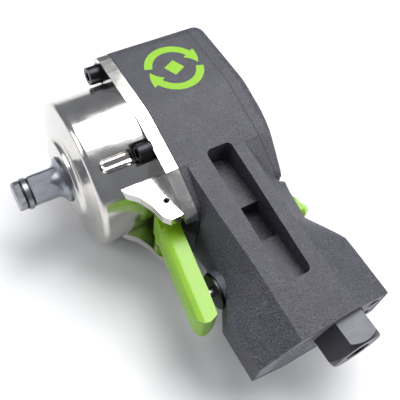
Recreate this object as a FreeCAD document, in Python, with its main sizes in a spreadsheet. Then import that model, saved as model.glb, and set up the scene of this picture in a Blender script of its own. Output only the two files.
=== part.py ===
# Compact pneumatic impact wrench with a half-inch square drive.
# Frame: origin at the middle of the anvil's nose, +X back along the spindle, +Y to the top of the
# head (the handle runs to -Y), +Z out of the tool's left side.  Millimetres throughout.
import FreeCAD, Part
import math
import os
import re
import Sketcher
from FreeCAD import Placement, Rotation, Vector

doc = FreeCAD.newDocument("ImpactWrench")

# ---------------------------------------------------------------- driving dimensions
sizes = {
    # square drive and spindle
    "driveSquare": 12.7,
    "driveTurn": 26,
    "driveCorner": 8.3,
    "driveLength": 21,
    "noseRadius": 7.7,
    "grooveStart": 3.2,
    "grooveEnd": 7.4,
    "grooveRadius": 5.6,
    "shaftRadius": 11,
    "filletStart": 15.8,
    "filletRound": 7,
    "shaftStart": 22.4,
    "coreRadius": 8.5,
    "coreEnd": 56.6,
    # hammer case and its flange
    "noseFace": 23.5,
    "noseRing": 19.5,
    "caseFront": 28.4,
    "caseRadius": 36,
    "caseWall": 7,
    "bushRadius": 14,
    "bushStart": 28.3,
    "bushEnd": 38,
    "flangeStart": 57,
    "flangeEnd": 63,
    "earInner": 15.4,
    "earOuter": 20,
    "gasket": 0.5,
    # head outline, seen along the spindle
    "headHalf": 36.5,
    "sideLow": -8,
    "hipLow": -36,
    "hipHalf": 28.8,
    "footLow": -56,
    "footHalf": 18.5,
    "cornerRound": 8,
    "headEnd": 105,
    "coverEnd": 115.5,
    "coverFoot": -54.5,
    "coverRound": 6,
    # air motor
    "motorBore": 23.3,
    "linerOuter": 23,
    "linerBore": 18.6,
    "linerOffset": 1.2,
    "linerStart": 70.5,
    "linerEnd": 97.5,
    "plateThick": 6,
    "rotorRadius": 17,
    "frontJournal": 6,
    "rearJournal": 5,
    "vaneCount": 6,
    "vaneThick": 1.6,
    # hammer mechanism
    "cageRadius": 28,
    "cageFront": 38.6,
    "cageEnd": 61.4,
    "cagePlate": 3.8,
    "pinOrbit": 22.6,
    "pinRadius": 2.5,
    # trigger and throttle
    "pivotX": 53.5,
    "pivotY": -43.5,
    "pivotRadius": 1.5,
    "leverHalf": 7.8,
    "stemY": -83,
    "stemRadius": 2.5,
    "stemStart": 50.2,
    "stemEnd": 84,
    "throttleBore": 6.5,
    "seatStart": 77,
    # reverse valve
    "reverseY": -61,
    "reverseBore": 6.2,
    "reverseFace": 108,
    # handle
    "handleTop": -34,
    "handleEnd": -122,
    "coverSeat": -117.6,
    "inletX": 95.7,
    "hexFlats": 23.8,
    "hexEnd": -134.5,
    "inletBore": 5.7,
    # fasteners
    "screwTopY": 29,
    "screwTopZ": 29,
    "screwLowY": -21,
    "screwLowZ": 28,
    "coverTopY": 26,
    "coverTopZ": 26,
    "coverLowY": -22,
    "coverLowZ": 24.5,
    "screwShank": 2.5,
    "screwHead": 4.25,
    "screwHeadLong": 5,
}

sheet = doc.addObject("Spreadsheet::Sheet", "Sizes")
for row, (alias, value) in enumerate(sizes.items(), start=1):
    sheet.set(f"A{row}", alias)
    sheet.set(f"B{row}", str(value))
    sheet.setAlias(f"B{row}", alias)
doc.recompute()

nodes = {}
turnToX = Rotation(Vector(0, 1, 0), 90)
turnToDown = Rotation(Vector(1, 0, 0), 90)
turns = {"x": turnToX, "-y": turnToDown, "z": Rotation()}


def words(text):
    """The expression with each driving dimension written as a cell of the sheet."""
    def cell(match):
        name = match.group(0)
        return f"Sizes.{name}" if name in sizes else name
    return re.sub(r"[A-Za-z][A-Za-z0-9]*", cell, str(text))


def number(text):
    """The value that an expression of lengths has now."""
    plain = re.sub(r"[A-Za-z][A-Za-z0-9]*", lambda match: f"({sizes[match.group(0)]})", str(text))
    return FreeCAD.Units.Quantity(plain).Value


def bind(thing, **values):
    for prop, text in values.items():
        thing.setExpression(prop.replace("__", "."), words(text))


def place(thing, at, turn=None):
    thing.Placement = Placement(Vector(0, 0, 0), turn or Rotation())
    for letter, text in zip("xyz", at):
        thing.setExpression(f"Placement.Base.{letter}", words(text))


def node(label, thing):
    """Marks an object as one finished piece of the tool."""
    thing.Label = label
    nodes[label] = thing
    return thing


# ---------------------------------------------------------------- solids to build with
def cylinder(name, radius, length, at=(0, 0, 0), along="x"):
    thing = doc.addObject("Part::Cylinder", name)
    bind(thing, Radius=radius, Height=length)
    place(thing, at, turns[along])
    return thing


def cone(name, start, end, length, at=(0, 0, 0), along="x"):
    thing = doc.addObject("Part::Cone", name)
    bind(thing, Radius1=start, Radius2=end, Height=length)
    place(thing, at, turns[along])
    return thing


def ring(name, middle, cord, at=(0, 0, 0), along="x"):
    thing = doc.addObject("Part::Torus", name)
    bind(thing, Radius1=middle, Radius2=cord)
    place(thing, at, turns[along])
    return thing


def sphere(name, radius, at):
    thing = doc.addObject("Part::Sphere", name)
    bind(thing, Radius=radius)
    place(thing, at)
    return thing


def box(name, size, at, turn=None):
    thing = doc.addObject("Part::Box", name)
    bind(thing, Length=size[0], Width=size[1], Height=size[2])
    place(thing, at, turn)
    return thing


def hexagon(name, flats, length, at, along="x"):
    thing = doc.addObject("Part::Prism", name)
    thing.Polygon = 6
    bind(thing, Circumradius=f"({flats}) / 2 / cos(30)", Height=length)
    place(thing, at, turns[along])
    return thing


def tube(name, outer, inner, length, at=(0, 0, 0), along="x"):
    over = "0.5"
    start = list(at)
    axis = {"x": 0, "-y": 1, "z": 2}[along]
    start[axis] = f"{at[axis]} {'+' if along == '-y' else '-'} {over}"
    return cut(name, cylinder(name + "_out", outer, length, at, along),
               cylinder(name + "_in", inner, f"{length} + 2 * {over}", start, along))


def fuse(name, *parts, refine=True):
    thing = doc.addObject("Part::MultiFuse", name)
    thing.Shapes = list(parts)
    thing.Refine = refine
    return thing


def cut(name, base, *tools):
    tool = tools[0] if len(tools) == 1 else fuse(name + "_tools", *tools, refine=False)
    thing = doc.addObject("Part::Cut", name)
    thing.Base = base
    thing.Tool = tool
    thing.Refine = True
    return thing


def common(name, *parts):
    thing = doc.addObject("Part::MultiCommon", name)
    thing.Shapes = list(parts)
    return thing


def group(name, parts):
    """Identical loose pieces kept together as one node."""
    thing = doc.addObject("Part::Compound", name)
    thing.Links = list(parts)
    return thing


# ---------------------------------------------------------------- sketched bodies
def origin_plane(body, role):
    return next(item for item in body.Origin.OriginFeatures if item.Role == role)


def outline(body, name, role, points, offset="0"):
    """A closed outline whose corners stand where the expressions put them."""
    sketch = body.newObject("Sketcher::SketchObject", name)
    sketch.AttachmentSupport = [(origin_plane(body, role), "")]
    sketch.MapMode = "FlatFace"
    sketch.setExpression("AttachmentOffset.Base.z", words(offset))
    corners = [Vector(number(x), number(y), 0) for x, y in points]
    count = len(corners)
    for index in range(count):
        sketch.addGeometry(Part.LineSegment(corners[index], corners[(index + 1) % count]), False)
    for index in range(count):
        sketch.addConstraint(Sketcher.Constraint("Coincident", index, 2, (index + 1) % count, 1))
    for index, (x, y) in enumerate(points):
        for kind, text, axis in (("DistanceX", x, -2), ("DistanceY", y, -1)):
            if number(text) == 0:
                sketch.addConstraint(Sketcher.Constraint("PointOnObject", index, 1, axis))
                continue
            fixed = sketch.addConstraint(
                Sketcher.Constraint(kind, -1, 1, index, 1, number(text)))
            sketch.setExpression(f"Constraints[{fixed}]", words(text))
    return sketch


def turned(name, points):
    """A body turned about the spindle from (place along it, radius) corners."""
    body = doc.addObject("PartDesign::Body", name)
    sketch = outline(body, name + "_section", "XY_Plane", points)
    turning = body.newObject("PartDesign::Revolution", name + "_turning")
    turning.Profile = sketch
    turning.ReferenceAxis = (sketch, ["H_Axis"])
    turning.Angle = 360
    doc.recompute()
    return body


def padded(name, role, points, length, offset="0", both=False):
    """A body padded from an outline, to one side or to both sides of its plane."""
    body = doc.addObject("PartDesign::Body", name)
    sketch = outline(body, name + "_outline", role, points, offset)
    pad = body.newObject("PartDesign::Pad", name + "_pad")
    pad.Profile = sketch
    if both:
        pad.SideType = "Symmetric"
    pad.setExpression("Length", words(length))
    doc.recompute()
    return body


def lofted(name, role, stations):
    """A body lofted through outlines with the same number of corners."""
    body = doc.addObject("PartDesign::Body", name)
    sketches = [outline(body, f"{name}_{index}", role, points, offset)
                for index, (offset, points) in enumerate(stations)]
    loft = body.newObject("PartDesign::AdditiveLoft", name + "_loft")
    loft.Profile = sketches[0]
    loft.Sections = sketches[1:]
    loft.Ruled = True
    doc.recompute()
    return body


def rounded(body, radius, test):
    """Rounds those edges of the body that pass the test."""
    base = body.Tip
    names = [f"Edge{index}" for index, edge in enumerate(base.Shape.Edges, start=1) if test(edge)]
    fillet = body.newObject("PartDesign::Fillet", f"{body.Name}_round_{len(body.Group)}")
    fillet.Base = (base, names)
    fillet.setExpression("Radius", words(radius))
    doc.recompute()
    return body


def edge_along(direction, spot):
    """True for a straight edge along an axis that passes the given place across it."""
    axis = "xyz".index(direction)

    def test(edge):
        if edge.Curve.TypeId != "Part::GeomLine":
            return False
        run = edge.Vertexes[-1].Point - edge.Vertexes[0].Point
        if abs(run[axis]) < 0.999 * run.Length:
            return False
        start = edge.Vertexes[0].Point
        rest = [start[index] for index in range(3) if index != axis]
        return all(abs(a - number(b)) < 0.01 for a, b in zip(rest, spot))
    return test


def front_edge(runs):
    """True for the outer straight edges above and below the given runs of an outline."""
    def test(edge):
        if edge.Curve.TypeId != "Part::GeomLine":
            return False
        ends = [vertex.Point for vertex in edge.Vertexes]
        if abs(ends[0].z - ends[1].z) > 0.01:
            return False
        for x1, y1, x2, y2 in runs:
            start, finish = (Vector(number(x), number(y), ends[0].z) for x, y in ((x1, y1), (x2, y2)))
            if all(min((end - start).Length, (end - finish).Length) < 0.01 for end in ends):
                return True
        return False
    return test


def circle_at(x, radius):
    """True for a circular edge about the spindle."""
    def test(edge):
        if edge.Curve.TypeId != "Part::GeomCircle":
            return False
        centre = edge.Curve.Center
        return abs(centre.x - number(x)) < 0.01 and abs(edge.Curve.Radius - number(radius)) < 0.01
    return test


headOutline = [
    ("headHalf", "-headHalf"), ("headHalf", "headHalf"), ("sideLow", "headHalf"),
    ("hipLow", "hipHalf"), ("footLow", "footHalf"), ("footLow", "-footHalf"),
    ("hipLow", "-hipHalf"), ("sideLow", "-headHalf"),
]


def head_slab(name, start, length):
    """A slice of the head's outline, with its corners rounded."""
    body = padded(name, "YZ_Plane", headOutline, length, start)
    for side in ("", "-"):
        rounded(body, "cornerRound", edge_along("x", ("headHalf", f"{side}headHalf")))
        rounded(body, 40, edge_along("x", ("sideLow", f"{side}headHalf")))
        rounded(body, "cornerRound", edge_along("x", ("footLow", f"{side}footHalf")))
    return body


screwPlaces = [("screwTopY", "screwTopZ"), ("screwTopY", "-screwTopZ"),
               ("screwLowY", "screwLowZ"), ("screwLowY", "-screwLowZ")]
coverPlaces = [("coverTopY", "coverTopZ"), ("coverTopY", "-coverTopZ"),
               ("coverLowY", "coverLowZ"), ("coverLowY", "-coverLowZ")]


# ---------------------------------------------------------------- hammer case
def hammer_case():
    shell = turned("caseShell", [
        ("noseFace", "0"), ("noseFace", "noseRing"), ("noseFace + 2.2", "noseRing + 1"),
        ("caseFront - 1.6", "caseRadius - 7"), ("caseFront", "caseRadius"),
        ("flangeEnd", "caseRadius"), ("flangeEnd", "0")])
    rounded(shell, 2.6, circle_at("caseFront", "caseRadius"))
    rounded(shell, 4, circle_at("noseFace + 2.2", "noseRing + 1"))
    rounded(shell, 1, circle_at("noseFace", "noseRing"))
    flange = head_slab("caseFlange", "flangeStart", "flangeEnd - flangeStart")
    ears = []
    for side, start in (("left", "earInner"), ("right", "-earOuter")):
        ear = padded("ear_" + side, "XY_Plane", [
            ("36", "-22"), ("39.5", "-32"), ("44", "-36.5"), ("47", "-43"), ("48.5", "-50"),
            ("51", "-53"), ("56.5", "-53"), ("flangeStart + 2", "-50"), ("flangeStart + 2", "-22")],
            "earOuter - earInner", start)
        rounded(ear, 6, edge_along("z", ("39.5", "-32")))
        rounded(ear, 8, edge_along("z", ("44", "-36.5")))
        rounded(ear, 10, edge_along("z", ("47", "-43")))
        rounded(ear, 2, edge_along("z", ("56.5", "-53")))
        ears.append(ear)
    solid = fuse("caseSolid", shell, flange, *ears)
    hollow = turned("caseHollow", [
        ("noseFace - 1", "0"), ("noseFace - 1", "shaftRadius + 0.4"),
        ("noseFace + 1.1", "shaftRadius + 0.4"), ("noseFace + 1.1", "bushRadius"),
        ("bushEnd", "bushRadius"), ("bushEnd", "bushRadius + 4"), ("bushEnd - 5", "bushRadius + 6"),
        ("bushEnd - 5", "caseRadius - caseWall - 5"), ("bushEnd", "caseRadius - caseWall"),
        ("flangeEnd + 1", "caseRadius - caseWall"), ("flangeEnd + 1", "0")])
    tools = [hollow]
    for index, (y, z) in enumerate(screwPlaces):
        tools.append(cylinder(f"casePocket{index}", 5.2, 9, ("flangeStart - 8.5", y, z)))
        tools.append(cylinder(f"caseChannel{index}", 3.6, 20.4, ("flangeStart - 20.4", y, z)))
        tools.append(sphere(f"caseChannelEnd{index}", 3.6, ("flangeStart - 20.4", y, z)))
        tools.append(cylinder(f"caseHole{index}", "screwShank + 0.3", 12, ("flangeStart - 1", y, z)))
    tools.append(cylinder("caseEarHole", "pivotRadius", "2 * earOuter + 2",
                          ("pivotX", "pivotY", "-earOuter - 1"), "z"))
    tools.append(box("caseHeelRoom", ("20", "30", "2 * earInner"), ("48", "-66", "-earInner")))
    node("hammer_case", cut("hammerCase", solid, *tools))


def nose_pieces():
    node("anvil_bush", tube("anvilBush", "bushRadius", "shaftRadius + 0.03", "bushEnd - bushStart",
                            ("bushStart", 0, 0)))
    node("nose_seal", tube("noseSeal", "bushRadius", "shaftRadius + 0.08", 3.2,
                           ("noseFace + 1.3", 0, 0)))


# ---------------------------------------------------------------- anvil
def anvil():
    square = box("driveBlock", ("driveLength", "driveSquare", "driveSquare"), (0, 0, 0))
    turn = math.radians(sizes["driveTurn"])
    square.Placement.Rotation = Rotation(Vector(1, 0, 0), sizes["driveTurn"])
    for letter, share in (("y", math.sin(turn) - math.cos(turn)),
                          ("z", -math.sin(turn) - math.cos(turn))):
        square.setExpression(f"Placement.Base.{letter}", words(f"driveSquare / 2 * ({share:.9f})"))
    corners = turned("driveCorners", [
        ("0", "0"), ("0", "noseRadius - 1"), ("1", "noseRadius"), ("grooveStart", "noseRadius"),
        ("grooveStart", "grooveRadius"), ("grooveEnd", "grooveRadius"), ("grooveEnd", "noseRadius"),
        ("grooveEnd + 0.8", "driveCorner"), ("driveLength", "driveCorner"), ("driveLength", "0")])
    drive = common("driveSquareNose", square, corners)
    sweep = ring("anvilFilletRing", "driveSquare / 2 + filletRound", "filletRound",
                 ("filletStart", 0, 0))
    flare = cut("anvilFillet", cylinder("anvilFlare", "shaftRadius", "shaftStart - filletStart + 1",
                                        ("filletStart", 0, 0)), sweep)
    shaft = turned("anvilShaft", [
        ("shaftStart", "0"), ("shaftStart", "shaftRadius"), ("cageFront + 3.9", "shaftRadius"),
        ("cageFront + 3.9", "coreRadius"), ("coreEnd", "coreRadius"), ("coreEnd", "0")])
    lobes = []
    for index, (start, side) in enumerate((("43.2", "3.5"), ("50.4", "-12"))):
        lobes.append(box(f"anvilLobe{index}", (5.8, 8.5, 7), (start, side, -3.5)))
    node("anvil", fuse("anvilWhole", drive, flare, shaft, *lobes))
    split = tube("frictionRing", "noseRadius - 0.1", "noseRadius - 0.75", 2,
                 ("grooveStart + 1.1", 0, 0))
    gap = box("frictionGap", (4, 10, 1.6), ("grooveStart", 0, -0.8))
    node("friction_ring", cut("frictionRingSplit", split, gap))
    node("anvil_o_ring", tube("anvilORing", "noseRadius - 0.8", "grooveRadius + 0.02",
                              "grooveEnd - grooveStart - 0.2", ("grooveStart + 0.1", 0, 0)))


# ---------------------------------------------------------------- twin hammers
def hammer_mechanism():
    length = "cageEnd - cageFront"
    outer = cylinder("cageOuter", "cageRadius", length, ("cageFront", 0, 0))
    window = cylinder("cageWindow", "cageRadius + 1", f"{length} - 2 * cagePlate",
                      ("cageFront + cagePlate", 0, 0))
    struts = box("cageStruts", (40, 60, 13), ("cageFront - 5", -30, -6.5))
    hollow = cylinder("cageHollow", "pinOrbit + 3.6", 40, ("cageFront - 5", 0, 0))
    rim = cut("cageRim", struts, hollow)
    opened = cut("cageOpened", outer, cut("cageWindowOpen", window, rim))
    bores = [cylinder("cageFrontBore", "shaftRadius + 0.3", 10, ("cageFront - 5", 0, 0)),
             hexagon("cageSocket", 10.3, 12, ("cageEnd - 5", 0, 0))]
    for index, side in enumerate(("", "-")):
        bores.append(cylinder(f"cagePinBore{index}", "pinRadius", 40,
                              ("cageFront - 5", 0, f"{side}pinOrbit")))
    node("hammer_cage", cut("hammerCage", opened, *bores))
    hammers = []
    for index, (start, side) in enumerate((("43", ""), ("50.2", "-"))):
        disc = cylinder(f"hammerDisc{index}", "pinOrbit + 3.2", 6.2, (start, 0, 0))
        eye = cylinder(f"hammerEye{index}", 14.5, 8, (f"{start} - 1", 0, 0))
        pivot = cylinder(f"hammerPivot{index}", "pinRadius + 0.1", 8,
                         (f"{start} - 1", 0, f"{side}pinOrbit"))
        free = box(f"hammerFree{index}", (8, 9, 9),
                   (f"{start} - 1", -4.5, f"{'-' if side == '' else ''}(pinOrbit) - 4.5"))
        dog = box(f"hammerDog{index}", (6.2, 5, 6),
                  (start, -2.5, f"{'' if side == '' else '-'}(13.5) - 3"))
        hammers.append(fuse(f"hammer{index}", cut(f"hammerRing{index}", disc, eye, pivot, free), dog))
    node("hammers", group("hammerPair", hammers))
    pins = [cylinder(f"hammerPin{index}", "pinRadius - 0.02", f"{length} - 0.4",
                     ("cageFront + 0.2", 0, f"{side}pinOrbit")) for index, side in enumerate(("", "-"))]
    node("hammer_pins", group("hammerPinPair", pins))


# ---------------------------------------------------------------- air motor
def bearing(name, start, wide, bore, outer, count):
    """A deep-groove ball bearing as its outer race, balls and inner race."""
    middle = f"({bore} + {outer}) / 2"
    ball = 1.7
    groove = ring(name + "Groove", middle, ball + 0.06, (f"{start} + {wide} / 2", 0, 0))
    groove2 = ring(name + "Groove2", middle, ball + 0.06, (f"{start} + {wide} / 2", 0, 0))
    node(name + "_outer_race", cut(name + "OuterRace", tube(
        name + "Outer", outer, f"{outer} - 1.4", wide, (start, 0, 0)), groove))
    node(name + "_inner_race", cut(name + "InnerRace", tube(
        name + "Inner", f"{bore} + 1.4", bore, wide, (start, 0, 0)), groove2))
    balls = []
    reach = (number(bore) + number(outer)) / 2
    for index in range(count):
        angle = 2 * math.pi * index / count
        balls.append(sphere(f"{name}Ball{index}", ball, (
            f"{start} + {wide} / 2", round(reach * math.cos(angle), 6),
            round(reach * math.sin(angle), 6))))
    node(name + "_balls", group(name + "Balls", balls))


def air_motor():
    plates = (("front_end_plate", "linerStart - plateThick", "frontJournal", 5,
               "linerStart - plateThick - 5"),
              ("rear_end_plate", "linerEnd", "rearJournal", 4.5, "linerEnd + 0.8"))
    for label, start, journal, race, pocketStart in plates:
        disc = cylinder(label + "Disc", "linerOuter", "plateThick", (start, 0, 0))
        hole = cylinder(label + "Hole", f"{journal} + 1.2", 20, (f"{start} - 5", 0, 0))
        pocket = cylinder(label + "Pocket", f"{journal} + {race}", 10, (pocketStart, 0, 0))
        dowelBore = cylinder(label + "Dowel", 1.25, 10, ("linerStart - 2.1", 20.9, 0))
        node(label, cut(label + "Cut", disc, hole, pocket, dowelBore))
    bearing("front_bearing", "linerStart - 5.4", 4.4, "frontJournal", "frontJournal + 5", 9)
    bearing("rear_bearing", "linerEnd + 0.9", 4.6, "rearJournal", "rearJournal + 4.5", 8)
    outer = cylinder("linerOutside", "linerOuter", "linerEnd - linerStart", ("linerStart", 0, 0))
    inner = cylinder("linerInside", "linerBore", "linerEnd - linerStart + 2",
                     ("linerStart - 1", "linerOffset", 0))
    ports = [box(f"linerPort{index}", (3, 14, 6), (f"linerStart + {5 + 6 * index}", -27, -3))
             for index in range(4)]
    dowelBore = cylinder("linerDowelBore", 1.25, 4, ("linerStart - 1.9", 20.9, 0))
    node("cylinder_liner", cut("cylinderLiner", outer, inner, dowelBore, *ports))
    drum = turned("rotorDrum", [
        ("cageEnd + 0.3", "0"), ("cageEnd + 0.3", "frontJournal - 0.02"),
        ("linerStart + 0.3", "frontJournal - 0.02"), ("linerStart + 0.3", "rotorRadius"),
        ("linerEnd - 0.3", "rotorRadius"), ("linerEnd - 0.3", "rearJournal + 1"),
        ("linerEnd + 0.6", "rearJournal + 1"), ("linerEnd + 0.6", "rearJournal - 0.02"),
        ("linerEnd + plateThick", "rearJournal - 0.02"), ("linerEnd + plateThick", "0")])
    flats = hexagon("rotorHex", 10, 4.4, ("cageEnd - 3.4", 0, 0))
    slots = []
    vanes = []
    for index in range(sizes["vaneCount"]):
        turn = Rotation(Vector(1, 0, 0), 360 * index / sizes["vaneCount"])
        slots.append(box(f"vaneSlot{index}", ("linerEnd - linerStart", 10, "vaneThick + 0.1"),
                         ("linerStart", 0, 0), turn))
        vanes.append(box(f"vane{index}", ("linerEnd - linerStart - 1", 7.6, "vaneThick"),
                         ("linerStart + 0.5", 0, 0), turn))
        aim = 2 * math.pi * index / sizes["vaneCount"]
        for thing, reach, thick in ((slots[-1], 8.6, "vaneThick + 0.1"), (vanes[-1], 9.45, "vaneThick")):
            side = f"({thick}) / 2"
            thing.setExpression("Placement.Base.y", words(
                f"{reach * math.cos(aim):.6f} + {math.sin(aim):.6f} * {side}"))
            thing.setExpression("Placement.Base.z", words(
                f"{reach * math.sin(aim):.6f} - {math.cos(aim):.6f} * {side}"))
    node("rotor", fuse("rotorWhole", cut("rotorShaft", drum, *slots), flats))
    node("rotor_vanes", group("rotorVanes", vanes))
    node("liner_dowel", cylinder("linerDowel", 1.2, 4, ("linerStart - 2", 20.9, 0)))


# ---------------------------------------------------------------- motor housing and handle
def station(depth, front, frontHalf, side, rear, rearHalf, face=(66, 94)):
    """One cut across the handle: front edge, flat side, rear bevel and rear edge."""
    return (depth, [(front, f"-{frontHalf}"), (face[0], f"-{side}"), (face[1], f"-{side}"),
                    (rear, f"-{rearHalf}"), (rear, rearHalf), (face[1], side), (face[0], side),
                    (front, frontHalf)])


handleStations = [
    station("-handleTop", "flangeEnd + gasket + 0.5", "24", "29", "headEnd", "22", (67, 97)),
    station("56.5", "flangeEnd + gasket + 0.5", "14", "25.9", "headEnd", "18", (67.7, 97)),
    station("57.5", "63.4", "13", "25.7", "reverseFace", "17.4", (67.8, 97)),
    station("62", "62.5", "9", "25", "reverseFace", "15.4", (68, 97)),
    station("75.5", "61", "7.5", "23", "reverseFace", "12", (69, 97.3)),
    station("88", "58.5", "7.3", "21.1", "headEnd + 12", "10.5", (69.8, 98)),
    station("92", "56.1", "7.3", "20.5", "headEnd + 14.2", "10.3", (69.9, 98.2)),
    station("98.5", "52.3", "7.3", "19.6", "headEnd + 14.5", "10", (70, 98.6)),
    station("-handleEnd", "52", "7.3", "16", "headEnd + 14", "10", (70.5, 100.3)),
]
gripFloors = (("-33.6", "-61", "17.4"), ("-60.4", "-77", "9.5"), ("-76.5", "-100", "13.3"))
gripFront, gripRear, gripRound = "78", "91", 2.6
baseScrewPlaces = (("112.5", "5.5"), ("112.5", "-5.5"))


def base_outline(inset):
    """The handle's end outline, drawn in evenly from its edge."""
    half = [(f"52 + {inset}", f"7.3 - {inset} * 0.64"), (f"70.5 + {inset} * 0.22", f"16 - {inset}"),
            (f"100.3 - {inset} * 0.16", f"16 - {inset}"),
            (f"headEnd + 14 - {inset}", f"10 - {inset} * 0.72")]
    return [(x, f"-({z})") for x, z in half] + half[::-1]


def motor_housing():
    head = head_slab("housingHead", "flangeEnd + gasket", "headEnd - flangeEnd - gasket")
    handle = lofted("housingHandle", "XZ_Plane", handleStations)
    boss = cylinder("stemBoss", "throttleBore + 2.2", 10, ("57.2", "stemY", 0))
    solid = fuse("housingSolid", head, handle, boss)
    tools = [cylinder("motorBore", "motorBore", 60, ("flangeEnd - 5", 0, 0))]
    tools.append(cylinder("inletPassage", "hexFlats / 2 - 1.4", 18, ("inletX", -106, 0), "-y"))
    tools.append(cylinder("inletDuct", 5.6, "107 + stemY", ("inletX", "stemY", 0), "-y"))
    tools.append(cylinder("throttleBore", "throttleBore", 42, ("56 - 1", "stemY", 0)))
    tools.append(cylinder("stemRoom", "throttleBore + 2.2", 8, ("49.2", "stemY", 0)))
    tools.append(cylinder("feedDuct", 4, "reverseY - stemY", ("72", "reverseY", 0), "-y"))
    tools.append(cylinder("reverseBore", "reverseBore", 46, ("66", "reverseY", 0)))
    tools.append(cylinder("cylinderDuct", 4, 44, ("84", -18, 0), "-y"))
    tools.append(box("exhaustDuct", (18, 22, 16), (61, -121, -8)))
    for side, sign in (("Left", 1), ("Right", -1)):
        for index, (top, low, floor) in enumerate(gripFloors):
            start = floor if sign == 1 else f"-{floor} - 20"
            pocket = padded(f"gripPocket{side}{index}", "XY_Plane", [
                (gripFront, low), (gripRear, low), (gripRear, top), (gripFront, top)], 20, start)
            end = {0: top, len(gripFloors) - 1: low}.get(index)
            if end:
                for x in (gripFront, gripRear):
                    rounded(pocket, gripRound, edge_along("z", (x, end)))
            tools.append(pocket)
    tools.append(padded("baseRecess", "XZ_Plane", base_outline(1.2), 10, "-coverSeat - 0.1"))
    for index, (y, z) in enumerate(screwPlaces):
        tools.append(cylinder(f"frontInsertBore{index}", 3.5, 12, ("flangeEnd", y, z)))
        tools.append(cylinder(f"frontScrewBore{index}", "screwShank + 0.3", 18, ("flangeEnd", y, z)))
    for index, (y, z) in enumerate(coverPlaces):
        tools.append(cylinder(f"rearInsertBore{index}", 3.5, 9, ("headEnd - 8", y, z)))
        tools.append(cylinder(f"rearScrewBore{index}", "screwShank + 0.3", 15, ("headEnd - 14", y, z)))
    for index, (x, z) in enumerate(baseScrewPlaces):
        tools.append(cylinder(f"baseScrewBore{index}", 1.3, 12, (x, -108, z), "-y"))
    tools.append(cylinder("detentBore", 1.4, 8, ("reverseFace - 7", "reverseY - 9.5", 0)))
    node("motor_housing", cut("motorHousing", solid, *tools))


def housing_inserts():
    rows = (("front_inserts", "flangeEnd + gasket + 0.1", 10, screwPlaces),
            ("rear_inserts", "headEnd - 7.5", 7, coverPlaces))
    for label, start, length, places in rows:
        parts = [tube(f"{label}{index}", 3.5, "screwShank + 0.02", length, (start, y, z))
                 for index, (y, z) in enumerate(places)]
        node(label, group(label + "Set", parts))


def gaskets():
    for label, start in (("case_gasket", "flangeEnd"), ("rear_gasket", "headEnd")):
        slab = head_slab(label + "Slab", start, "gasket")
        tools = [cylinder(label + "Bore", "motorBore", 6, (f"{start} - 2", 0, 0))]
        places = coverPlaces if label == "rear_gasket" else screwPlaces
        for index, (y, z) in enumerate(places):
            tools.append(cylinder(f"{label}Hole{index}", "screwShank + 0.3", 6, (f"{start} - 2", y, z)))
        low = "coverFoot" if label == "rear_gasket" else "footLow - 2"
        tools.append(box(label + "Foot", (6, 40, 80), (f"{start} - 2", f"{low} - 40", -40)))
        if label == "case_gasket":
            tools.append(box(label + "Heel", (6, 30, "2 * earInner"), (f"{start} - 2", "-66", "-earInner")))
        node(label, cut(label + "Cut", slab, *tools))


coverSeats = ("headEnd + gasket + 4",) * 2 + ("headEnd + gasket + 2",) * 2


def rear_cover():
    start = "headEnd + gasket"
    slab = head_slab("coverSlab", start, "coverEnd - headEnd - gasket")
    rounded(slab, "coverRound", lambda edge: all(
        abs(vertex.X - sizes["coverEnd"]) < 0.01 for vertex in edge.Vertexes))
    ramp = padded("coverRamp", "XY_Plane", [
        ("coverEnd + 2", "-14"), ("coverEnd - 0.01", "-18"), ("headEnd + 4", "coverFoot + 6"),
        ("headEnd + 2.8", "coverFoot"), ("headEnd - 4", "coverFoot"), ("headEnd - 4", "-80"),
        ("coverEnd + 2", "-80")], 90, "0", True)
    tools = [ramp, cylinder("coverHollow", "motorBore - 3", 4, (f"{start} - 1", 0, 0))]
    for index, ((y, z), seat) in enumerate(zip(coverPlaces, coverSeats)):
        tools.append(cylinder(f"coverHole{index}", "screwShank + 0.3", 20, (f"{start} - 1", y, z)))
        tools.append(cylinder(f"coverSink{index}", "screwHead + 0.4", 12, (seat, y, z)))
    node("rear_cover", cut("rearCover", slab, *tools))


# ---------------------------------------------------------------- screws
def cap_screw(name, seat, shank, at, heading=1):
    """A socket-head screw: its head stands on the seat and its shank points back (or forward)."""
    y, z = at
    head = cylinder(name + "Head", "screwHead", "screwHeadLong",
                    (f"{seat} - screwHeadLong" if heading == 1 else seat, y, z))
    keyStart = f"{seat} - screwHeadLong - 0.4" if heading == 1 else f"{seat} + screwHeadLong - 3"
    key = hexagon(name + "Key", 4, 3.4, (keyStart, y, z))
    body = cylinder(name + "Shank", "screwShank - 0.01", f"{shank} + 0.5",
                    (f"{seat} - 0.5" if heading == 1 else f"{seat} - ({shank})", y, z))
    return cut(name, fuse(name + "Whole", head, body), key)


def screws():
    front = [cap_screw(f"caseScrew{index}", "flangeStart - 1", 21, at)
             for index, at in enumerate(screwPlaces)]
    node("case_screws", group("caseScrews", front))
    rings = [tube(f"caseWasher{index}", "screwHead + 0.3", "screwShank + 0.2", 1,
                  ("flangeStart - 1", y, z)) for index, (y, z) in enumerate(screwPlaces)]
    node("case_screw_washers", group("caseWashers", rings))
    rear = [cap_screw(f"coverScrew{index}", seat, 15, at, -1)
            for index, (seat, at) in enumerate(zip(coverSeats, coverPlaces))]
    node("rear_cover_screws", group("coverScrews", rear))


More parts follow.
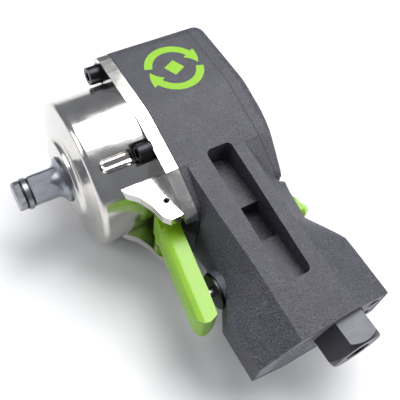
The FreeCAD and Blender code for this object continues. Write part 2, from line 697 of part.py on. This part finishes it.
# ---------------------------------------------------------------- trigger lever and throttle
def trigger():
    side = padded("leverSide", "XY_Plane", [
        ("50.6", "-39.5"), ("47.3", "-50.5"), ("45.4", "-62"), ("43.3", "-75"), ("41.4", "-87"),
        ("41.2", "-92"), ("43.2", "-95.4"), ("46", "-96"), ("49.9", "-94.6"), ("50.7", "-91"),
        ("52.3", "-83"), ("54", "-72"), ("57.6", "-50"), ("57.6", "-42"), ("53.5", "-39.5")],
        "2 * leverHalf", "0", True)
    for corner, radius in ((("41.2", "-92"), 3), (("43.2", "-95.4"), 1.5)):
        rounded(side, radius, edge_along("z", corner))
    nose = (("50.6", "-39.5", "47.3", "-50.5"), ("47.3", "-50.5", "45.4", "-62"),
            ("45.4", "-62", "43.3", "-75"), ("43.3", "-75", "41.4", "-87"))
    rounded(side, "leverHalf - 3.8", front_edge(nose))
    hollow = padded("leverHollow", "XY_Plane", [
        ("51.4", "-56"), ("49.2", "-66"), ("47.2", "-77"), ("45.6", "-88"), ("46.4", "-92"),
        ("60", "-92"), ("60", "-56")], "2 * leverHalf - 5", "0", True)
    rib = padded("leverRib", "XY_Plane", [
        ("46", "-78"), ("49.9", "-78"), ("49.4", "-88"), ("45", "-88")], 9, "0", True)
    head = padded("leverHead", "XY_Plane", [
        ("49.6", "-41"), ("53.5", "-38.3"), ("58.8", "-39"), ("61", "-41"), ("61", "-46.5"),
        ("58", "-50.2"), ("49", "-48")], "2 * leverHalf", "0", True)
    for corner in (("49.6", "-41"), ("53.5", "-38.3"), ("58.8", "-39"), ("61", "-41")):
        rounded(head, 1.6, edge_along("z", corner))
    eye = cylinder("leverEye", "pivotRadius + 0.06", 60, ("pivotX", "pivotY", -30), "z")
    knuckle = cylinder("leverKnuckle", 3.6, "2 * earInner - 0.8",
                       ("pivotX", "pivotY", "-earInner + 0.4"), "z")
    shape = fuse("leverWhole", cut("leverChannel", side, hollow), rib, head, knuckle)
    node("trigger_lever", cut("triggerLever", shape, eye))
    pin = cylinder("triggerPinRod", "pivotRadius", "2 * earOuter - 0.4",
                   ("pivotX", "pivotY", "-earOuter + 0.2"), "z")
    bore = cylinder("triggerPinBore", 0.8, 60, ("pivotX", "pivotY", -30), "z")
    slit = box("triggerPinSlit", (3, 0.5, 60), ("pivotX", "pivotY - 0.25", -30))
    node("trigger_pin", cut("triggerPin", pin, bore, slit))


def coil(name, start, length, turnsWanted, radius, wire, at, along="x"):
    """A helical spring: a wire swept along a helix."""
    helix = doc.addObject("Part::Helix", name + "Helix")
    helix.Pitch = (length - 2 * wire) / turnsWanted
    helix.Height = length - 2 * wire
    helix.Radius = radius
    helix.Placement = Placement(Vector(0, 0, 0), turns[along])
    for letter, text in zip("xyz", (start, at[0], at[1])):
        helix.setExpression(f"Placement.Base.{letter}", words(text))
    section = doc.addObject("Part::Circle", name + "Wire")
    section.Radius = wire
    doc.recompute()
    first = helix.Shape.Edges[0]
    point = first.valueAt(first.FirstParameter)
    heading = first.tangentAt(first.FirstParameter)
    section.Placement = Placement(point, Rotation(Vector(0, 0, 1), heading))
    sweep = doc.addObject("Part::Sweep", name)
    sweep.Sections = [section]
    sweep.Spine = (helix, ["Edge1"])
    sweep.Solid = True
    sweep.Frenet = True
    return sweep


def throttle():
    rod = turned("stemRod", [
        ("stemStart", "0"), ("stemStart", "stemRadius - 0.8"), ("stemStart + 0.8", "stemRadius"),
        ("seatStart + 2.8", "stemRadius"), ("seatStart + 2.8", "5.2"), ("seatStart + 5.4", "5.2"),
        ("seatStart + 5.4", "stemRadius"), ("stemEnd + 2", "stemRadius"), ("stemEnd + 2", "0")])
    rod.Placement = Placement(Vector(0, sizes["stemY"], 0), Rotation())
    node("throttle_stem", rod)
    sleeve = tube("throttleSleeve", "throttleBore", "stemRadius + 0.05", 9, ("57.9", "stemY", 0))
    collar = tube("throttleCollar", "throttleBore + 1.6", "stemRadius + 0.05", 1.2,
                  ("55.9", "stemY", 0))
    neck = tube("throttleNeck", "throttleBore", "stemRadius + 0.05", 1.6, ("56.6", "stemY", 0))
    pocket = tube("throttleRingRoom", "stemRadius + 1.5", "stemRadius - 1", 1.9, ("61.6", "stemY", 0))
    node("throttle_bush", cut("throttleBush", fuse("throttleBushWhole", sleeve, collar, neck), pocket))
    node("throttle_o_ring", ring("throttleORing", "stemRadius + 0.82", 0.66, ("62.55", "stemY", 0)))
    node("throttle_seat", tube("throttleSeat", "throttleBore", "stemRadius + 1.4", 2.4,
                               ("seatStart", "stemY", 0)))
    node("throttle_spring", coil("throttleSpring", "seatStart + 6", 13, 5, 3.9, 0.45, ("stemY", "0")))


# ---------------------------------------------------------------- reverse switch
def reverse_switch():
    plug = cylinder("reversePlug", "reverseBore - 0.04", 17.4, ("reverseFace - 17.6", "reverseY", 0))
    notch = box("reverseNotch", (9, 8, 20), ("reverseFace - 14", "reverseY + 2.5", -10))
    notch2 = box("reverseNotch2", (9, 8, 20), ("reverseFace - 14", "reverseY - 10.5", -10))
    tapped = cylinder("reverseTapped", 1.5, 12, ("reverseFace - 9", "reverseY", 0))
    seat = ring("reverseRingSeat", "reverseBore - 0.45", 0.66, ("reverseFace - 2.6", "reverseY", 0))
    node("reverse_valve", cut("reverseValve", plug, notch, notch2, tapped, seat))
    node("reverse_o_ring", ring("reverseORing", "reverseBore - 0.55", 0.5,
                                ("reverseFace - 2.6", "reverseY", 0)))
    plate = padded("reversePlate", "YZ_Plane", [
        ("reverseY + 4.6", "-5.5"), ("reverseY + 4.6", "5.5"), ("reverseY - 3", "10"),
        ("reverseY - 9.5", "10.3"), ("reverseY - 11.5", "8"), ("reverseY - 11.5", "-8"),
        ("reverseY - 9.5", "-10.3"), ("reverseY - 3", "-10")], 3.4, "reverseFace + 0.5")
    for y, z, radius in (("reverseY - 11.5", "8", 1.4), ("reverseY + 4.6", "5.5", 2.2),
                         ("reverseY - 9.5", "10.3", 1.4), ("reverseY - 3", "10", 4)):
        for side in ("", "-"):
            rounded(plate, radius, edge_along("x", (y, side + z)))
    lug = padded("reverseLug", "XY_Plane", [
        ("reverseFace + 3", "reverseY - 4"), ("reverseFace + 5.5", "reverseY - 6"),
        ("reverseFace + 6.6", "reverseY - 8"), ("reverseFace + 6.2", "reverseY - 10.4"),
        ("reverseFace + 3", "reverseY - 11")], 17, "0", True)
    hub = cylinder("reverseHub", 6, 4.6, ("reverseFace + 0.5", "reverseY", 0))
    hole = cylinder("reverseHole", 1.7, 12, ("reverseFace - 1", "reverseY", 0))
    sink = cylinder("reverseSink", 3.3, 5, ("reverseFace + 3.2", "reverseY", 0))
    node("reverse_lever", cut("reverseLever", fuse("reverseWhole", plate, lug, hub), hole, sink))
    head = cylinder("reverseScrewHead", 3, 1.7, ("reverseFace + 3.2", "reverseY", 0))
    body = cylinder("reverseScrewBody", 1.49, 11, ("reverseFace - 7.5", "reverseY", 0))
    drive = box("reverseScrewSlot", (2, 8, 0.9), ("reverseFace + 4", "reverseY - 4", -0.45))
    node("reverse_screw", cut("reverseScrew", fuse("reverseScrewWhole", head, body), drive))
    node("detent_ball", sphere("detentBall", 1.3, ("reverseFace - 1.4", "reverseY - 9.5", 0)))
    node("detent_spring", coil("detentSpring", "reverseFace - 6.6", 3.8, 4, 0.95, 0.2,
                               ("reverseY - 9.5", "0")))


# ---------------------------------------------------------------- handle end
grilleRows, grilleColumns = 4, 8
grillePitch, grilleRowPitch, grilleLean = 2.3, 5.4, 35


def handle_end():
    plate = padded("basePlate", "XZ_Plane", base_outline(1.5), "coverSeat - handleEnd - 0.1",
                   "-coverSeat")
    tools = [hexagon("baseHexRoom", "hexFlats + 0.8", 12, ("inletX", -115, 0), "-y")]
    for row in range(grilleRows):
        for column in range(grilleColumns):
            slot = box(f"grille{row}_{column}", (1, 14, 3.6), (0, -128, 0),
                       Rotation(Vector(0, 1, 0), grilleLean))
            x = 60.4 + grillePitch * column + 0.4 * row
            z = 6.4 - grilleRowPitch * row
            slot.setExpression("Placement.Base.x", f"{x:.3f}")
            slot.setExpression("Placement.Base.z", f"{z:.3f}")
            tools.append(slot)
    grille = cut("baseGrille", plate, *tools)
    bores = []
    for index, (x, z) in enumerate(baseScrewPlaces):
        bores.append(cylinder(f"baseHole{index}", 1.7, 20, (x, -110, z), "-y"))
        bores.append(cylinder(f"baseSink{index}", 2.9, 20, (x, -119.4, z), "-y"))
    node("base_cover", cut("baseCover", grille, *bores))
    hexNut = hexagon("inletHex", "hexFlats", "-hexEnd - 118", ("inletX", "-118", 0), "-y")
    bevel = cone("inletBevel", "hexFlats / 2 + 9", "hexFlats / 2 - 0.6", 9.5,
                 ("inletX", "hexEnd + 9.5", 0), "-y")
    under = cylinder("inletUnder", "hexFlats", 9, ("inletX", "hexEnd + 18.4", 0), "-y")
    thread = cylinder("inletThread", "hexFlats / 2 - 1.4", 11, ("inletX", -107.2, 0), "-y")
    envelope = fuse("inletEnvelope", bevel, under)
    body = fuse("inletWhole", common("inletShaped", hexNut, envelope), thread)
    bore = cylinder("inletBore", "inletBore", 16, ("inletX", "hexEnd + 15", 0), "-y")
    deep = cylinder("inletDeep", "inletBore - 1.2", 30, ("inletX", -106, 0), "-y")
    node("inlet_bushing", cut("inletBushing", body, bore, deep))
    disc = cylinder("screenDisc", 5.4, 0.6, ("inletX", -103, 0), "-y")
    pores = []
    for row in range(-2, 3):
        for column in range(-2, 3):
            pores.append(box(f"pore{row + 2}_{column + 2}", (1.1, 3, 1.1),
                             (f"inletX - 0.55 + {1.7 * row:.2f}", -105, f"{1.7 * column - 0.55:.2f}")))
    node("inlet_screen", cut("inletScreen", disc, *pores))
    node("muffler_felt", box("mufflerFelt", (17, 9, 15), (61.5, -116.8, -7.5)))
    screwsLow = []
    for index, (x, z) in enumerate(baseScrewPlaces):
        head = cylinder(f"baseScrewHead{index}", 2.6, 1.6, (x, -119.5, z), "-y")
        shank = cylinder(f"baseScrewShank{index}", 1.25, 11, (x, -109, z), "-y")
        slot = box(f"baseScrewSlot{index}", (6, 1, 0.8), (f"{x} - 3", -121.5, f"{z} - 0.4"))
        screwsLow.append(cut(f"baseScrew{index}", fuse(f"baseScrewWhole{index}", head, shank), slot))
    node("base_screws", group("baseScrews", screwsLow))


for build in (hammer_case, nose_pieces, anvil, hammer_mechanism, air_motor, motor_housing,
              housing_inserts, gaskets, rear_cover, screws, trigger, throttle, reverse_switch,
              handle_end):
    build()
doc.recompute()

faults = [thing.Name for thing in doc.Objects if {"Invalid", "Error"} & set(thing.State)]
for label, thing in nodes.items():
    shape = thing.Shape
    if shape.isNull() or not shape.isValid() or not shape.Solids:
        faults.append(label)
if faults:
    raise SystemExit(f"these objects failed: {faults}")

os.makedirs("parts", exist_ok=True)
for label, thing in nodes.items():
    thing.Shape.exportStep(f"parts/{label}.step")
    print(f"{label}: {len(thing.Shape.Solids)} solid(s), {thing.Shape.Volume:.0f} mm3")
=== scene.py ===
import bpy
import math
from mathutils import Matrix, Vector


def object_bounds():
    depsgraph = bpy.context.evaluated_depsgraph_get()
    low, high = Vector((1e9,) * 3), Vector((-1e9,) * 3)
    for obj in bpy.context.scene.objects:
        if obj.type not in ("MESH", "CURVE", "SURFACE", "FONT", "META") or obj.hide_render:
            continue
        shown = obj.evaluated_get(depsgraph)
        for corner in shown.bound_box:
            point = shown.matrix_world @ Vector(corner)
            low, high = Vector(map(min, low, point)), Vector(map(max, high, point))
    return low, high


# compact impact wrench lying on its right side: +X runs back along the spindle, -Y down the handle,
# +Z out of the left side, which faces up here.  Everything is in metres.
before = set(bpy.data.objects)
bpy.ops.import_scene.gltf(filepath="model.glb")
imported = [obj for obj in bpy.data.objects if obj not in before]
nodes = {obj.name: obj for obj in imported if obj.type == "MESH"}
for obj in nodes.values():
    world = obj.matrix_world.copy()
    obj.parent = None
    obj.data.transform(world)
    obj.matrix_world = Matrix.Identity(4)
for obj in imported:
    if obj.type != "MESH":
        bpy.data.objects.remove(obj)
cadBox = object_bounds()
scene = bpy.context.scene
mm = 0.001
print("frame loaded,", len(nodes), "nodes")


# small helpers for shader nodes
def startMaterial(name, look):  # constants go straight onto the shader's own sockets
    mat = bpy.data.materials.new(name)
    mat.use_nodes = True
    shader = mat.node_tree.nodes["Principled BSDF"]
    for socket, value in look.items():
        shader.inputs[socket].default_value = value
    return mat, mat.node_tree, shader


def addNode(tree, kind, settings=None, **links):  # i0, i1 ... name a socket by its number
    made = tree.nodes.new(kind)
    for key, value in (settings or {}).items():
        setattr(made, key, value)
    for key, value in links.items():
        numbered = key[0] == "i" and key[1:].isdigit()
        socket = made.inputs[int(key[1:]) if numbered else key]
        if isinstance(value, bpy.types.NodeSocket):
            tree.links.new(value, socket)
        else:
            socket.default_value = value
    return made


def place(tree):
    return addNode(tree, "ShaderNodeTexCoord").outputs["Object"]


def math2(tree, operation, a, b=0.0):
    return addNode(tree, "ShaderNodeMath", {"operation": operation}, i0=a, i1=b).outputs[0]


def noise(tree, where, scale, detail=3.0, roughness=0.55):
    return addNode(tree, "ShaderNodeTexNoise", None, Vector=where, Scale=scale, Detail=detail,
                   Roughness=roughness).outputs["Fac"]


def stretched(tree, where, scale):
    return addNode(tree, "ShaderNodeMapping", None, Vector=where, Scale=scale).outputs[0]


def remap(tree, value, low, high, start=0.3, end=0.7):
    made = addNode(tree, "ShaderNodeMapRange", None, Value=value)
    for key, number in (("From Min", start), ("From Max", end), ("To Min", low), ("To Max", high)):
        made.inputs[key].default_value = number
    return made.outputs["Result"]


def blendColors(tree, factor, a, b):
    made = addNode(tree, "ShaderNodeMix", {"data_type": "RGBA"})
    tree.links.new(factor, made.inputs[0])
    for socket, value in ((made.inputs[6], a), (made.inputs[7], b)):
        if isinstance(value, bpy.types.NodeSocket):
            tree.links.new(value, socket)
        else:
            socket.default_value = (*value, 1)
    return made.outputs[2]


def bump(tree, shader, height, depth, strength):
    made = addNode(tree, "ShaderNodeBump", None, Height=height, Strength=strength, Distance=depth)
    tree.links.new(made.outputs[0], shader.inputs["Normal"])


# the finishes
compositeLook = {
    "tones": ((0.015, 0.015, 0.021), (0.120, 0.120, 0.148)),
    "inks": ((0.20, 0.43, 0.010), (0.28, 0.54, 0.018)),
    "grain": 1700, "grainDepth": 0.00022, "grainStrength": 0.9, "pitShare": 0.55,
    "grainSpan": (0.36, 0.72), "mottle": 160, "mottleLow": 0.60,
    "roughness": (0.40, 0.62),
    "shine": {"Specular IOR Level": 0.45},
}


def compositeSkin(name, printed=False):  # glass-filled nylon straight out of an etched mould
    look = compositeLook
    mat, tree, shader = startMaterial(name, look["shine"])
    where = place(tree)
    grain = noise(tree, where, look["grain"], 2.0, 0.6)
    pits = addNode(tree, "ShaderNodeTexVoronoi", {"feature": "F1"}, Vector=where,
                   Scale=look["grain"] * look["pitShare"]).outputs["Distance"]
    flow = noise(tree, where, look["mottle"], 4.0)
    factor = math2(tree, "MULTIPLY", remap(tree, grain, 0.0, 1.0, *look["grainSpan"]),
                   remap(tree, flow, look["mottleLow"], 1.0))
    color = blendColors(tree, factor, *look["tones"])
    if printed:
        mask = emblemMask(tree, where)
        inked = blendColors(tree, factor, *look["inks"])
        color = blendColors(tree, mask, color, inked)
    tree.links.new(color, shader.inputs["Base Color"])
    tree.links.new(remap(tree, grain, *look["roughness"]), shader.inputs["Roughness"])
    height = math2(tree, "ADD", grain, math2(tree, "MULTIPLY", pits, 0.5))
    bump(tree, shader, height, look["grainDepth"], look["grainStrength"])
    return mat


emblem = {"x": 0.087, "y": 0.011, "radius": 0.0122, "half": 0.0019, "face": 0.0360, "gap": 0.30,
          "tipLong": 0.62, "tipWide": 0.0040, "tipStart": 0.18, "square": 0.0034, "turn": 26}


def emblemMask(tree, where):  # two chasing arrows round a small square: forward and reverse
    parts = addNode(tree, "ShaderNodeSeparateXYZ", None, Vector=where).outputs
    dx = math2(tree, "SUBTRACT", parts[0], emblem["x"])
    dy = math2(tree, "SUBTRACT", parts[1], emblem["y"])
    reach = math2(tree, "SQRT", math2(tree, "ADD", math2(tree, "MULTIPLY", dx, dx),
                                      math2(tree, "MULTIPLY", dy, dy)))
    wholeTurns = 10 * math.pi  # keeps the angle positive
    aim = math2(tree, "ADD", math2(tree, "ARCTAN2", dy, dx), wholeTurns + emblem["gap"])
    turned = math2(tree, "MODULO", aim, math.pi)
    off = math2(tree, "ABSOLUTE", math2(tree, "SUBTRACT", reach, emblem["radius"]))
    band = math2(tree, "LESS_THAN", off, emblem["half"])
    shaft = math2(tree, "MULTIPLY", band,
                  math2(tree, "GREATER_THAN", turned, 2 * emblem["gap"]))
    # the arrow's head narrows to nothing over tipLong radians
    narrowing = math2(tree, "MULTIPLY", math2(tree, "SUBTRACT", turned, emblem["tipStart"]),
                      emblem["tipWide"] / emblem["tipLong"])
    head = math2(tree, "LESS_THAN", off, narrowing)
    head = math2(tree, "MULTIPLY", head, math2(
        tree, "LESS_THAN", turned, emblem["tipStart"] + emblem["tipLong"]))
    arrows = math2(tree, "MAXIMUM", shaft, head)
    turn = math.radians(emblem["turn"])
    across = math2(tree, "ADD", math2(tree, "MULTIPLY", dx, math.cos(turn)),
                   math2(tree, "MULTIPLY", dy, math.sin(turn)))
    along = math2(tree, "SUBTRACT", math2(tree, "MULTIPLY", dy, math.cos(turn)),
                  math2(tree, "MULTIPLY", dx, math.sin(turn)))
    wide = math2(tree, "MAXIMUM", math2(tree, "ABSOLUTE", across), math2(tree, "ABSOLUTE", along))
    square = math2(tree, "LESS_THAN", wide, emblem["square"])
    whole = math2(tree, "MAXIMUM", arrows, square)
    return math2(tree, "MULTIPLY", whole, math2(tree, "GREATER_THAN", parts[2], emblem["face"]))


metals = {  # base colour, roughness low and high, grain scale, bump depth
    "polishedCasting": ((0.74, 0.72, 0.69), 0.12, 0.24, 900, 0.000012),
    "groundSteel": ((0.36, 0.37, 0.41), 0.26, 0.44, 1600, 0.00006),
    "racePolish": ((0.70, 0.70, 0.72), 0.10, 0.20, 900, 0.00001),
    "bronzeBush": ((0.60, 0.40, 0.19), 0.25, 0.40, 1500, 0.00003),
    "blackOxide": ((0.035, 0.035, 0.04), 0.28, 0.45, 1800, 0.00004),
    "zincScrew": ((0.45, 0.45, 0.46), 0.22, 0.38, 1500, 0.00003),
    "turnedBrass": ((0.75, 0.56, 0.26), 0.18, 0.34, 1500, 0.00002),
    "phosphated": ((0.085, 0.085, 0.095), 0.32, 0.5, 1500, 0.00004),
}


metalGrain = {"stretch": (0.12, 1, 1), "cloudShare": 0.12, "dull": 0.86, "strength": 0.6}


def metalFinish(name):
    base, low, high, scale, depth = metals[name]
    mat, tree, shader = startMaterial(name, {"Metallic": 1.0})
    where = place(tree)
    lines = noise(tree, stretched(tree, where, metalGrain["stretch"]), scale, 3.0)
    cloud = noise(tree, where, scale * metalGrain["cloudShare"], 4.0)
    duller = tuple(metalGrain["dull"] * channel for channel in base)
    tree.links.new(blendColors(tree, remap(tree, cloud, 0.0, 1.0), duller, base),
                   shader.inputs["Base Color"])
    both = math2(tree, "MULTIPLY", math2(tree, "ADD", lines, cloud), 0.5)
    tree.links.new(remap(tree, both, low, high), shader.inputs["Roughness"])
    bump(tree, shader, lines, depth, metalGrain["strength"])
    return mat


plastics = {  # two tones, roughness low and high, grain scale, bump depth
    "greenNylon": ((0.19, 0.41, 0.010), (0.27, 0.51, 0.016), 0.26, 0.40, 1300, 0.00003),
    "paleCover": ((0.16, 0.16, 0.20), (0.25, 0.25, 0.30), 0.42, 0.60, 1700, 0.00014),
    "rubberRing": ((0.010, 0.010, 0.011), (0.022, 0.022, 0.023), 0.30, 0.5, 1500, 0.00003),
    "gasketPaper": ((0.012, 0.012, 0.014), (0.03, 0.03, 0.032), 0.6, 0.85, 2200, 0.00006),
    "vaneLaminate": ((0.16, 0.07, 0.03), (0.28, 0.13, 0.05), 0.5, 0.7, 1800, 0.00005),
    "mufflerFelt": ((0.35, 0.34, 0.31), (0.60, 0.59, 0.55), 0.85, 1.0, 900, 0.0004),
}


plasticGrain = {"cloudShare": 0.07, "grainPart": 0.6, "cloudPart": 0.4, "strength": 0.8}


def plasticFinish(name):
    dark, light, low, high, scale, depth = plastics[name]
    mat, tree, shader = startMaterial(name, {"Specular IOR Level": 0.5})
    where = place(tree)
    grain = noise(tree, where, scale, 3.0, 0.6)
    cloud = noise(tree, where, scale * plasticGrain["cloudShare"], 3.0)
    mixed = math2(tree, "ADD", math2(tree, "MULTIPLY", grain, plasticGrain["grainPart"]),
                  math2(tree, "MULTIPLY", cloud, plasticGrain["cloudPart"]))
    factor = remap(tree, mixed, 0.0, 1.0)
    tree.links.new(blendColors(tree, factor, dark, light), shader.inputs["Base Color"])
    tree.links.new(remap(tree, grain, low, high), shader.inputs["Roughness"])
    bump(tree, shader, grain, depth, plasticGrain["strength"])
    return mat


finishes = {name: metalFinish(name) for name in metals}
finishes.update({name: plasticFinish(name) for name in plastics})
finishes["composite"] = compositeSkin("etchedComposite")
finishes["printedComposite"] = compositeSkin("printedComposite", True)
print("finishes made:", len(finishes))

# which finish each piece of the frame takes
dressing = {
    "polishedCasting": ["hammer_case"],
    "groundSteel": ["anvil", "hammers", "hammer_cage", "cylinder_liner", "front_end_plate",
                    "rear_end_plate", "rotor", "hammer_pins", "liner_dowel", "throttle_spring",
                    "detent_spring", "inlet_screen", "friction_ring"],
    "racePolish": ["front_bearing_outer_race", "front_bearing_inner_race", "front_bearing_balls",
                   "rear_bearing_outer_race", "rear_bearing_inner_race", "rear_bearing_balls",
                   "detent_ball"],
    "bronzeBush": ["anvil_bush"],
    "blackOxide": ["rear_cover_screws", "base_screws", "trigger_pin", "throttle_bush",
                   "case_screws", "case_screw_washers"],
    "zincScrew": ["reverse_screw", "throttle_stem"],
    "turnedBrass": ["front_inserts", "rear_inserts"],
    "phosphated": ["inlet_bushing"],
    "greenNylon": ["trigger_lever", "reverse_lever", "reverse_valve"],
    "paleCover": ["base_cover"],
    "rubberRing": ["nose_seal", "anvil_o_ring", "throttle_o_ring", "reverse_o_ring",
                   "throttle_seat"],
    "gasketPaper": ["case_gasket", "rear_gasket"],
    "vaneLaminate": ["rotor_vanes"],
    "mufflerFelt": ["muffler_felt"],
    "composite": ["rear_cover"],
    "printedComposite": ["motor_housing"],
}


def dressNode(name, finish):
    data = nodes[name].data
    data.materials.clear()
    data.materials.append(finishes[finish])


for finish, names in dressing.items():
    for name in names:
        dressNode(name, finish)
undressed = sorted(set(nodes) - {name for names in dressing.values() for name in names})
print("frame dressed, left over:", undressed)


# the moulded, cast and machined edges are broken by small bevels, widths in millimetres
brokenEdges = {"hammer_case": 0.45, "motor_housing": 0.5, "rear_cover": 0.35, "base_cover": 0.25,
               "trigger_lever": 0.5, "reverse_lever": 0.4, "inlet_bushing": 0.35, "anvil": 0.25,
               "case_screws": 0.2, "rear_cover_screws": 0.2, "throttle_bush": 0.2}
sharpFrom = math.radians(28)  # a gentler crease than this stays as it is
for name, width in brokenEdges.items():
    edge = nodes[name].modifiers.new("brokenEdge", "BEVEL")
    edge.width = width * mm
    edge.segments = 2
    edge.limit_method = "ANGLE"
    edge.angle_limit = sharpFrom
    edge.harden_normals = True
print("edges broken:", len(brokenEdges))


# floor, light and camera
floorLow = cadBox[0].z
studio = {"floorSize": 3.0, "floorSpot": (0.06, -0.04), "floorTone": (0.86, 0.86, 0.865),
          "floorPaler": (0.90, 0.90, 0.905), "floorMottle": 30, "sky": (0.86, 0.90, 1.0),
          "skyStrength": 0.24}

bpy.ops.mesh.primitive_grid_add(x_subdivisions=8, y_subdivisions=8, size=studio["floorSize"],
                                location=(*studio["floorSpot"], floorLow))
floor = bpy.context.object
floor.name = "studioFloor"
floorMat, floorTree, floorShader = startMaterial("paleFloor", {"Roughness": 0.7})
mottle = noise(floorTree, place(floorTree), studio["floorMottle"], 2.0)
floorTree.links.new(blendColors(floorTree, mottle, studio["floorTone"], studio["floorPaler"]),
                    floorShader.inputs["Base Color"])
floor.data.materials.append(floorMat)

world = bpy.data.worlds.new("studio")
scene.world = world
world.use_nodes = True
sky = world.node_tree.nodes["Background"]
sky.inputs[0].default_value = (*studio["sky"], 1)
sky.inputs[1].default_value = studio["skyStrength"]
scene.view_settings.view_transform = "Standard"

lights = {  # place, aim, width, height, watts
    "topSoftbox": ((0.34, 0.16, 0.74), (0.05, -0.03, 0), 0.60, 0.50, 7.6),
    "leftStrip": ((-0.45, 0.15, 0.42), (0.05, -0.03, 0), 0.30, 0.60, 1.6),
    "rearStrip": ((0.50, -0.25, 0.35), (0.08, -0.03, 0), 0.20, 0.50, 1.6),
}


def softbox(name, spot, aim, width, height, watts):
    data = bpy.data.lights.new(name, "AREA")
    data.shape = "RECTANGLE"
    data.size = width
    data.size_y = height
    data.energy = watts
    lamp = bpy.data.objects.new(name, data)
    scene.collection.objects.link(lamp)
    lamp.location = spot
    lamp.rotation_euler = (Vector(aim) - Vector(spot)).to_track_quat("-Z", "Y").to_euler()


for name, setting in lights.items():
    softbox(name, *setting)

cameraSet = {
    "spot": (-0.0220, -0.1554, 0.2250),
    "right": (0.8532, -0.5106, 0.1064),
    "up": (0.3782, 0.7461, 0.5480),
    "lens": 51.3,
    "sensor": 36,
    "clip": (0.01, 20),
}
cameraData = bpy.data.cameras.new("studioCamera")
cameraData.lens = cameraSet["lens"]
cameraData.sensor_width = cameraSet["sensor"]
cameraData.clip_start, cameraData.clip_end = cameraSet["clip"]
camera = bpy.data.objects.new("studioCamera", cameraData)
scene.collection.objects.link(camera)
right, up = Vector(cameraSet["right"]), Vector(cameraSet["up"])
back = right.cross(up).normalized()
up = back.cross(right).normalized()
camera.matrix_world = Matrix.Translation(Vector(cameraSet["spot"])) @ Matrix(
    (right.normalized(), up, back)).transposed().to_4x4()
scene.camera = camera
print("floor, lights and camera set")
